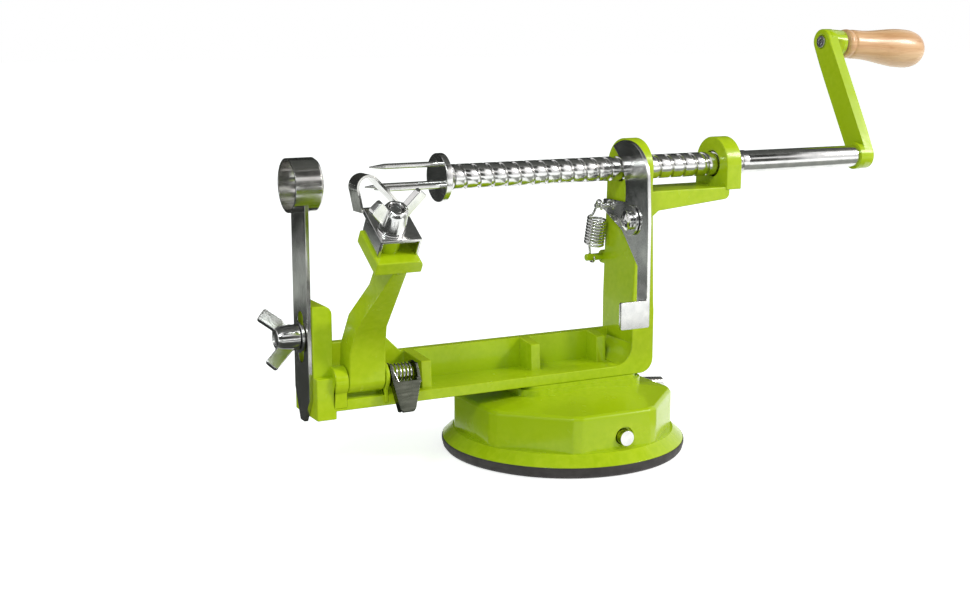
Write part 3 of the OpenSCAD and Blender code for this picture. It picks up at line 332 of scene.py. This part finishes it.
def roundedCopy(nodeName, piece, radius, segments, rim=None, lip=None, tab=None, clean=False, free=False,
                pick=None):
    bm = bmesh.new()
    bm.from_mesh(nodes[nodeName].data)
    bmesh.ops.remove_doubles(bm, verts=bm.verts, dist=weldReach)
    if clean:
        bmesh.ops.dissolve_degenerate(bm, dist=sliverReach, edges=bm.edges)
    bmesh.ops.dissolve_limit(bm, angle_limit=flatWithin, verts=bm.verts, edges=bm.edges)
    if clean:
        bmesh.ops.dissolve_degenerate(bm, dist=sliverReach, edges=bm.edges)
    before = len(bm.faces)
    if rim:
        bevelled(bm, [e for e in sharpEdges(bm) if onRim(e, *rim[:3])], rim[3], 4)
    if tab:
        bevelled(bm, [e for e in sharpEdges(bm) if isTabCorner(e, tab[0])], tab[1], 5)
    made = bevelled(bm, [e for e in sharpEdges(bm) if not pick or pick(e)], radius, segments, free)
    # Bevel faces get the lighter edge colour: paint wear and a painted edge highlight
    wearSheenLayer = bm.verts.layers.float.new("edgeWearSheen")
    for face in made:
        for vert in face.verts:
            vert[wearSheenLayer] = 1.0
    if lip:
        addLip(bm, lip)
    print("rounded", nodeName, before, "->", len(bm.faces), "faces")
    copy = settle(bm, piece, nodeName)
    evenOut = copy.modifiers.new("evenOut", "WEIGHTED_NORMAL")
    evenOut.keep_sharp = True
    return copy


for nodeName, values in roundEdges.items():
    roundedCopy(nodeName, **values)
print("castings rounded")


# Turned pieces: an outline of (x, radius) spun round the X axis
def turned(bm, outline, steps=64):
    verts = [bm.verts.new((x * mm, 0, radius * mm)) for x, radius in outline]
    edges = [bm.edges.new(pair) for pair in zip(verts, verts[1:])]
    bmesh.ops.spin(bm, geom=verts + edges, cent=(0, 0, 0), axis=(1, 0, 0), dvec=(0, 0, 0), angle=math.tau,
                   steps=steps, use_merge=True, use_normal_flip=False, use_duplicate=False)


def closeUp(bm, reach=0.000004):
    bmesh.ops.remove_doubles(bm, verts=bm.verts, dist=reach)
    bmesh.ops.recalc_face_normals(bm, faces=bm.faces)


# Feed screw: one pitch of the groove's outline drawn along a helix, trimmed square at both ends
screwSet = {"front": -51.0, "back": 88.5, "pitch": 6.0, "grooveAt": 24.95, "turns": 26, "lead": 14,
            "steps": 40, "rim": 0.25,
            "groove": [(-3.0, 5.0), (-0.85, 5.0), (-0.72, 4.95), (-0.60, 4.72), (-0.52, 4.22), (-0.44, 4.12),
                       (0.44, 4.12), (0.52, 4.22), (0.60, 4.72), (0.72, 4.95), (0.85, 5.0), (3.0, 5.0)],
            "shank": [(88.0, 0.0), (88.0, 4.5), (88.3, 4.75), (150.5, 4.75), (150.5, 3.0), (156.0, 3.0),
                      (156.0, 0.0)],
            "spigot": [(-54.6, 0.0), (-54.6, 2.7), (-54.3, 3.0), (-50.8, 3.0), (-50.8, 0.0)]}


def feedScrew(s):
    bm = bmesh.new()
    start = s["grooveAt"] - s["lead"] * s["pitch"]
    verts = [bm.verts.new(((start + x) * mm, -radius * mm, 0)) for x, radius in s["groove"]]
    edges = [bm.edges.new(pair) for pair in zip(verts, verts[1:])]
    climb = s["pitch"] / s["steps"] * mm
    bmesh.ops.spin(bm, geom=verts + edges, cent=(0, 0, 0), axis=(1, 0, 0), dvec=(climb, 0, 0),
                   angle=math.tau * s["turns"], steps=s["turns"] * s["steps"], use_merge=False,
                   use_normal_flip=False, use_duplicate=False)
    bmesh.ops.remove_doubles(bm, verts=bm.verts, dist=0.00001)
    for place, side in ((s["front"], -1), (s["back"], 1)):
        bmesh.ops.bisect_plane(bm, geom=bm.verts[:] + bm.edges[:] + bm.faces[:], dist=0.0000001,
                               plane_co=(place * mm, 0, 0), plane_no=(side, 0, 0), clear_outer=True)
    rims = bmesh.ops.holes_fill(bm, edges=[e for e in bm.edges if e.is_boundary], sides=0)["faces"]
    rimEdges = [e for face in rims for e in face.edges]
    bevelled(bm, rimEdges, s["rim"], 2)
    turned(bm, s["shank"])
    turned(bm, s["spigot"])
    closeUp(bm)
    bmesh.ops.translate(bm, vec=(0, 0, axisZ * mm), verts=bm.verts)
    return settle(bm, "feedScrew", "threaded_shaft")


feedScrew(screwSet)
print("feed screw cut")

# Wooden handle on its drooping spindle: ferrule bead, neck, swell and blunt end
handleSet = {"pivot": (152.0, 28.314, 164.046), "droop": 4.2, "start": 12.6, "length": 47.5, "neck": 6.6,
             "belly": 8.9, "swellFrom": 0.2, "swellTo": 0.72, "bluntness": 3.2, "points": 56,
             "bead": [(0.0, 2.8), (0.0, 5.9), (0.5, 6.45), (1.6, 6.6), (2.7, 6.5), (3.2, 6.15), (3.6, 6.15),
                      (4.0, 6.45)]}


def handleRadius(t, s):
    if t < s["swellFrom"]:
        return s["neck"]
    if t < s["swellTo"]:
        k = (t - s["swellFrom"]) / (s["swellTo"] - s["swellFrom"])
        return s["neck"] + (s["belly"] - s["neck"]) * k * k * (3 - 2 * k)
    return s["belly"] * math.sqrt(max(0.0, 1 - ((t - s["swellTo"]) / (1 - s["swellTo"])) ** s["bluntness"]))


def woodHandle(s):
    bm = bmesh.new()
    stretch = [0.1 + 0.9 * i / s["points"] for i in range(s["points"] + 1)]
    turned(bm, s["bead"] + [(s["length"] * t, handleRadius(t, s)) for t in stretch], 72)
    closeUp(bm)
    place = Matrix.Translation(Vector(s["pivot"]) * mm) @ Matrix.Rotation(math.radians(s["droop"]), 4, "Y")
    bmesh.ops.transform(bm, matrix=place @ Matrix.Translation((s["start"] * mm, 0, 0)), verts=bm.verts)
    return settle(bm, "woodGrip", "wood_handle", 60)


woodHandle(handleSet)
print("handle turned")


# Wire pieces: a round section walked along its path, a turn of the ring at every step
def softened(path, rounds):
    for step in range(rounds):
        cut = [point for a, b in zip(path, path[1:]) for point in (a.lerp(b, 0.25), a.lerp(b, 0.75))]
        path = [path[0]] + cut + [path[-1]]
    return path


def drawWire(bm, path, radius, sides):
    ahead = [(b - a).normalized() for a, b in zip(path, path[1:])]
    heading = [ahead[0]] + [(a + b).normalized() for a, b in zip(ahead, ahead[1:])] + [ahead[-1]]
    upright = heading[0].to_track_quat("Z", "Y").to_matrix().to_4x4()
    ring = bmesh.ops.create_circle(bm, cap_ends=True, radius=radius, segments=sides,
                                   matrix=Matrix.Translation(path[0]) @ upright)["verts"]
    edges = [e for e in bm.edges if e.verts[0] in ring and e.verts[1] in ring]
    for i in range(1, len(path)):
        made = bmesh.ops.extrude_edge_only(bm, edges=edges)["geom"]
        ring = [part for part in made if isinstance(part, bmesh.types.BMVert)]
        inRing = set(ring)
        madeEdges = [part for part in made if isinstance(part, bmesh.types.BMEdge)]
        edges = [edge for edge in madeEdges if inRing.issuperset(edge.verts)]
        bmesh.ops.translate(bm, vec=path[i] - path[i - 1], verts=ring)
        swing = heading[i - 1].rotation_difference(heading[i]).to_matrix()
        bmesh.ops.rotate(bm, cent=path[i], matrix=swing, verts=ring)
    bmesh.ops.contextual_create(bm, geom=edges)
    bmesh.ops.recalc_face_normals(bm, faces=bm.faces)


def arc(count, first, last):
    return [math.radians(first + (last - first) * i / count) for i in range(count + 1)]


# Extension spring between the frame's lug and the lever's peg
leverSpringSet = {"foot": (21.4, 13.3, 75.5), "lean": 13.26, "length": 23.12, "hook": 2.15, "hookFrom": 150,
                  "hookSweep": 240, "coil": 3.9, "coilFrom": 5.62, "pitch": 1.32, "turns": 9, "wire": 0.52,
                  "sides": 10}


def leverSpring(s):
    lower = [Vector((0, s["hook"] * math.cos(a), s["hook"] * math.sin(a)))
             for a in arc(12, s["hookFrom"], s["hookFrom"] + s["hookSweep"])]
    rise = s["pitch"] / math.tau
    coil = [Vector((s["coil"] * math.sin(a), s["coil"] * math.cos(a), s["coilFrom"] + rise * a))
            for a in arc(s["turns"] * 14, 0, 360 * s["turns"])]
    upper = [Vector((0, s["hook"] * math.cos(a), s["length"] + s["hook"] * math.sin(a)))
             for a in arc(12, s["hookFrom"] - 180, s["hookFrom"] - 180 + s["hookSweep"])]
    place = Matrix.Translation(s["foot"]) @ Matrix.Rotation(math.radians(s["lean"]), 4, "X")
    path = [place @ point * mm for point in softened(lower + coil + upper, 2)]
    bm = bmesh.new()
    drawWire(bm, path, s["wire"] * mm, s["sides"])
    return settle(bm, "leverCoil", "lever_spring", 60)


# Torsion spring round the arm's mandrel, one leg on the latch and one on the beam
armSpringSet = {"start": (-81.45, -8.5, 40.7), "coil": 3.85, "pitch": 1.52, "from": 28, "to": 150, "turns": 5,
                "leg": 6.0, "legShift": 1.6, "tail": 9.44, "bend": 0.9, "wire": 0.45, "sides": 10}


def armSpring(s):
    def around(degrees):
        a = math.radians(degrees)
        return Vector((0, -s["coil"] * math.cos(a), s["coil"] * math.sin(a)))

    def along(degrees):
        a = math.radians(degrees)
        return Vector((0, math.sin(a), math.cos(a)))

    sweep = 360 * s["turns"] + s["to"] - s["from"]
    width = s["pitch"] * sweep / 360
    count = 14 * s["turns"]
    leg = [Vector((s["legShift"], 0, 0)) + around(s["from"]) - s["leg"] * along(s["from"]),
           Vector((s["legShift"] / 6, 0, 0)) + around(s["from"]) - s["bend"] * along(s["from"])]
    coil = [Vector((width * i / count, 0, 0)) + around(s["from"] + sweep * i / count)
            for i in range(count + 1)]
    tail = [Vector((width, 0, 0)) + around(s["to"]) + reach * along(s["to"])
            for reach in (s["bend"], s["tail"])]
    path = [(Vector(s["start"]) + point) * mm for point in softened(leg + coil + tail, 2)]
    bm = bmesh.new()
    drawWire(bm, path, s["wire"] * mm, s["sides"])
    return settle(bm, "armCoil", "arm_spring", 60)


leverSpring(leverSpringSet)
armSpring(armSpringSet)
print("springs wound")

# Stage: white floor that keeps the shadow, dark cards that only reflections see, two soft lamps
stageSet = {"floor": 12.0, "shade": (0.79, 0.79, 0.79), "tone": (0.80, 0.80, 0.80), "lift": 0.72,
            "fill": 0.42, "fillTone": (0.90, 1.0, 0.97), "aim": (0.03, 0, 0.09)}


def stagePlane(name, mat, place):
    bm = bmesh.new()
    bmesh.ops.create_grid(bm, x_segments=1, y_segments=1, size=0.5, matrix=place)
    mesh = bpy.data.meshes.new(name)
    bm.to_mesh(mesh)
    bm.free()
    mesh.materials.append(mat)
    plane = bpy.data.objects.new(name, mesh)
    scene.collection.objects.link(plane)
    return plane


def seenRays(tree):
    rays = addNode(tree, "ShaderNodeLightPath")
    seen = addNode(tree, "ShaderNodeMath", operation="MAXIMUM")
    tree.links.new(rays.outputs["Is Camera Ray"], seen.inputs[0])
    tree.links.new(rays.outputs["Is Glossy Ray"], seen.inputs[1])
    seenAll = addNode(tree, "ShaderNodeMath", operation="MAXIMUM")
    tree.links.new(seen.outputs["Value"], seenAll.inputs[0])
    tree.links.new(rays.outputs["Is Transmission Ray"], seenAll.inputs[1])
    return seenAll.outputs["Value"]


floorMat, floorTree, floorShader = startFinish("whiteFloor", {"Roughness": 0.9, "Specular IOR Level": 0.0,
                                                              "Emission Color": (1, 1, 1, 1)})
floorStops = [(0.3, stageSet["shade"]), (0.7, stageSet["tone"])]
floorTone = tint(floorTree, grain(floorTree, 6.0, 2.0), floorStops)
floorTree.links.new(floorTone, floorShader.inputs["Base Color"])
floorLift = spread(floorTree, seenRays(floorTree), 0.0, stageSet["lift"], 0.0, 1.0)
floorTree.links.new(floorLift, floorShader.inputs["Emission Strength"])
stagePlane("whiteFloor", floorMat, Matrix.Scale(stageSet["floor"], 4))

cardSet = {
    "ceilingCard": {"place": (0.10, 0.57, 1.20), "size": (2.60, 2.06), "tone": 0.13},
    "backCard": {"place": (0.10, 1.10, 0.60), "size": (2.60, 1.20), "tilt": 90, "tone": 0.04},
    "cameraCard": {"place": (-0.20, -1.00, 0.36), "size": (1.70, 0.60), "tilt": 90, "turn": -27,
                   "tone": 0.05},
    "wingShade": {"place": (0.20, -0.68, 0.90), "size": (0.55, 0.66), "tone": 0.05},
    # The cards lying on the floor are painted shade seen only in reflections: dark and grey patches standing
    # in for shaded floor
    "slicerCard": {"place": (-0.29, 0.20, 0.004), "size": (0.32, 0.26), "tone": 0.06},
    "stripCard": {"place": (-0.20, 0.42, 0.004), "size": (0.60, 0.18), "tone": 0.52},
    "farCard": {"place": (-0.20, 0.81, 0.004), "size": (1.60, 0.58), "tone": 0.05},
    "wingCard": {"place": (-0.11, -0.28, 0.004), "size": (0.32, 0.24), "tone": 0.06},
    "shadeCard": {"place": (-0.20, 0.015, 0.004), "size": (0.29, 0.27), "tone": 0.06},
    "shaftCard": {"place": (0.34, -0.12, 0.004), "size": (0.56, 0.20), "tone": 0.30},
}
for cardName, values in cardSet.items():
    cardMat, cardTree, cardShader = startFinish(cardName, {"Roughness": 0.9, "Specular IOR Level": 0.0})
    tone = values["tone"]
    cardStops = [(0.3, (tone, tone, tone)), (0.7, (tone * 1.5, tone * 1.5, tone * 1.4))]
    cardTone = tint(cardTree, grain(cardTree, 3.0, 2.0), cardStops)
    cardTree.links.new(cardTone, cardShader.inputs["Base Color"])
    width, height = values["size"]
    turn = Matrix.Rotation(math.radians(values.get("turn", 0)), 4, "Z")
    upright = turn @ Matrix.Rotation(math.radians(values.get("tilt", 0)), 4, "X")
    place = Matrix.Translation(values["place"]) @ upright @ Matrix.Diagonal((width, height, 1, 1))
    card = stagePlane(cardName, cardMat, place)
    card.visible_camera = False
    card.visible_diffuse = False
    card.visible_shadow = False
    card.visible_transmission = False

world = bpy.data.worlds.new("studio")
scene.world = world
world.use_nodes = True
skyTree = world.node_tree
skyShade = skyTree.nodes["Background"]
skyLevel = spread(skyTree, seenRays(skyTree), stageSet["fill"], 1.0, 0.0, 1.0)
skyTree.links.new(skyLevel, skyShade.inputs["Strength"])
skyTone = tint(skyTree, seenRays(skyTree), [(0.0, stageSet["fillTone"]), (1.0, (1, 1, 1))])
skyTree.links.new(skyTone, skyShade.inputs["Color"])

lampSet = {
    "keyLamp": {"place": (1.22, -1.00, 0.95), "size": 0.45, "power": 18.0, "tone": (1.0, 0.965, 0.91)},
    "sideLamp": {"place": (-0.75, -0.75, 0.95), "size": 0.3, "power": 5.4, "tone": (0.92, 1.0, 0.98)},
}
for lampName, values in lampSet.items():
    lampData = bpy.data.lights.new(lampName, "AREA")
    lampData.size = values["size"]
    lampData.energy = values["power"]
    lampData.color = values["tone"]
    lamp = bpy.data.objects.new(lampName, lampData)
    lamp.location = values["place"]
    lamp.rotation_euler = (Vector(stageSet["aim"]) - lamp.location).to_track_quat("-Z", "Y").to_euler()
    scene.collection.objects.link(lamp)
scene.view_settings.view_transform = "Standard"
print("stage lit")
